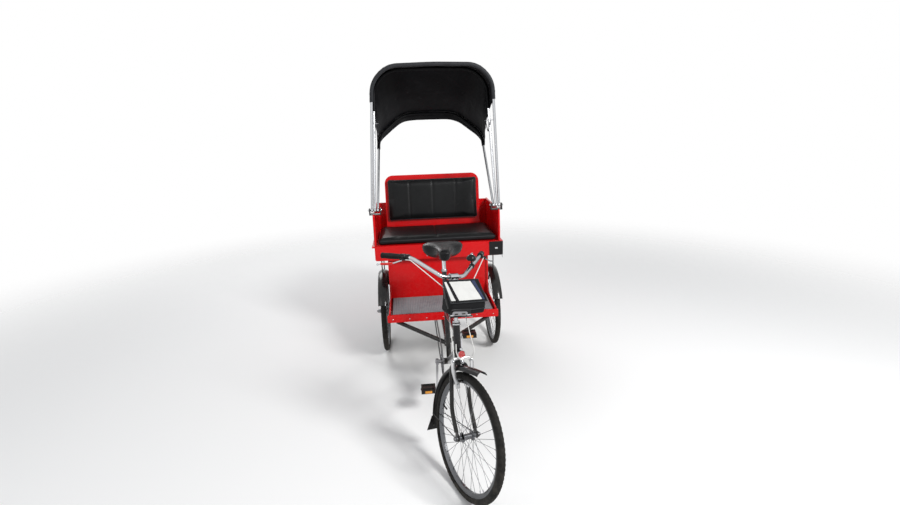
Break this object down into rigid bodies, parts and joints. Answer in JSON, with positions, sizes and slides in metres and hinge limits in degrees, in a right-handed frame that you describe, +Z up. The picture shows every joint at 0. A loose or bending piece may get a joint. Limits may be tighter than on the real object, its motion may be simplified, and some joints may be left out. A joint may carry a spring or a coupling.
{
  "type": "cycle rickshaw",
  "caption": "Cycle rickshaw: a pedal-driven three-wheeler with a steered bicycle front, a red two-seat cabin and a black folding hood.",
  "frame": {"origin": "on the floor, under the middle of the vehicle's box", "axes": "+Y towards the rear, +X towards the vehicle's left side, +Z up"},
  "size_m": [1.048, 2.4679, 2.2555],
  "materials": {
    "frame_paint": "gloss black paint",
    "chassis_paint": "satin black paint",
    "red_panel": "moulded fibreglass, gloss red",
    "tyre": "matte",
    "rim": "polished",
    "chrome": "bright",
    "steel": "satin",
    "black_plastic": "satin",
    "grip": "matte",
    "saddle_cover": "semi gloss",
    "seat_vinyl": "semi gloss",
    "hood_vinyl": "coated cloth",
    "bag_cloth": "woven",
    "floor_rubber": "ribbed",
    "floor_board": "sealed",
    "bow_tube": "polished",
    "reflector": "clear red"
  },
  "bodies": {
    "root": {"armrest_left": "red_panel", "armrest_right": "red_panel", "axle_blocks": "chassis_paint", "back_cushion": "seat_vinyl", "backrest_board": "red_panel", "chain": "steel", "chassis_frame": "chassis_paint", "fender_left": "frame_paint", "fender_right": "frame_paint", "floor_mat": "floor_rubber", "floor_pan": "floor_board", "front_fascia": "red_panel", "hood_brackets": "chassis_paint", "main_frame": "frame_paint", "marker_plate": "black_plastic", "rear_panel": "red_panel", "saddle": "saddle_cover", "seat_box": "red_panel", "seat_cushion": "seat_vinyl", "seat_post": "chrome", "side_panel_left": "red_panel", "side_panel_right": "red_panel"},
    "steering": {"fork": "frame_paint", "front_axle": "steel", "stem": "chrome", "handlebar": "chrome", "grips": "grip", "handlebar_bag": "bag_cloth", "bag_bracket": "steel", "front_mudguard": "black_plastic", "front_brake": "steel", "bar_controls": "steel", "brake_cables": "steel", "front_reflector": "reflector"},
    "front_wheel": {"front_tyre": "tyre", "front_wheel": "rim"},
    "rear_wheel_left": {"rear_tyre_left": "tyre", "rear_wheel_left": "rim"},
    "rear_drive": {"rear_axle": "steel", "rear_tyre_right": "tyre", "rear_wheel_right": "rim"},
    "crank": {"crankset": "steel"},
    "pedal_left": {"pedal_left": "black_plastic"},
    "pedal_right": {"pedal_right": "black_plastic"},
    "hood_rear": {"hood_rear_bow": "bow_tube"},
    "hood_middle": {"hood_middle_bow": "bow_tube", "hood_roof_rear": "hood_vinyl"},
    "hood_front": {"hood_front_bow": "bow_tube", "hood_roof_front": "hood_vinyl"},
    "hood_link_front": {"hood_front_links": "steel"},
    "hood_link_middle": {"hood_middle_links": "steel"}
  },
  "joints": [
    {"name": "steering_turn", "type": "hinge", "parent": "root", "child": "steering", "pos_m": [0, -0.89815, 0.30302], "axis": [0, 0.342, 0.9397], "range_deg": [-69, 21]},
    {"name": "front_wheel_spin", "type": "hinge", "parent": "steering", "child": "front_wheel", "pos_m": [0.0183, -0.93678, 0.31708], "axis": [0.9135, 0.3822, -0.1391], "continuous": true},
    {"name": "left_wheel_spin", "type": "hinge", "parent": "root", "child": "rear_wheel_left", "pos_m": [0, 0.79156, 0.33], "axis": [1, 0, 0], "continuous": true},
    {"name": "drive_spin", "type": "hinge", "parent": "root", "child": "rear_drive", "pos_m": [0, 0.79156, 0.33], "axis": [1, 0, 0], "continuous": true},
    {"name": "crank_spin", "type": "hinge", "parent": "root", "child": "crank", "pos_m": [0, -0.14844, 0.325], "axis": [1, 0, 0], "continuous": true},
    {"name": "pedal_left_spin", "type": "hinge", "parent": "crank", "child": "pedal_left", "pos_m": [0.149, -0.04377, 0.45896], "axis": [1, 0, 0], "continuous": true},
    {"name": "pedal_right_spin", "type": "hinge", "parent": "crank", "child": "pedal_right", "pos_m": [-0.149, -0.2531, 0.19104], "axis": [1, 0, 0], "continuous": true},
    {"name": "hood_fold", "type": "hinge", "parent": "root", "child": "hood_rear", "pos_m": [0, 0.67156, 1.21], "axis": [-1, 0, 0], "range_deg": [0, 52]},
    {"name": "hood_middle_fold", "type": "hinge", "parent": "hood_rear", "child": "hood_middle", "pos_m": [0, 0.67156, 1.21], "axis": [-1, 0, 0], "range_deg": [0, 22.5], "deforming": ["hood_roof_rear"]},
    {"name": "hood_front_fold", "type": "hinge", "parent": "hood_middle", "child": "hood_front", "pos_m": [0, 0.67156, 1.21], "axis": [-1, 0, 0], "range_deg": [0, 11], "deforming": ["hood_roof_front"]},
    {"name": "hood_front_link_turn", "type": "hinge", "parent": "hood_front", "child": "hood_link_front", "pos_m": [0, 0.58672, 1.85444], "axis": [-1, 0, 0], "range_deg": [0, 30.25]},
    {"name": "hood_middle_link_turn", "type": "hinge", "parent": "hood_middle", "child": "hood_link_middle", "pos_m": [0, 0.77885, 1.85109], "axis": [1, 0, 0], "range_deg": [0, 30.25]}
  ],
  "couplings": [
    {"joint": "hood_middle_fold", "follows": "hood_fold", "ratio": 0.43269},
    {"joint": "hood_front_fold", "follows": "hood_fold", "ratio": 0.21154},
    {"joint": "hood_front_link_turn", "follows": "hood_fold", "ratio": 0.58182},
    {"joint": "hood_middle_link_turn", "follows": "hood_fold", "ratio": 0.58182}
  ]
}
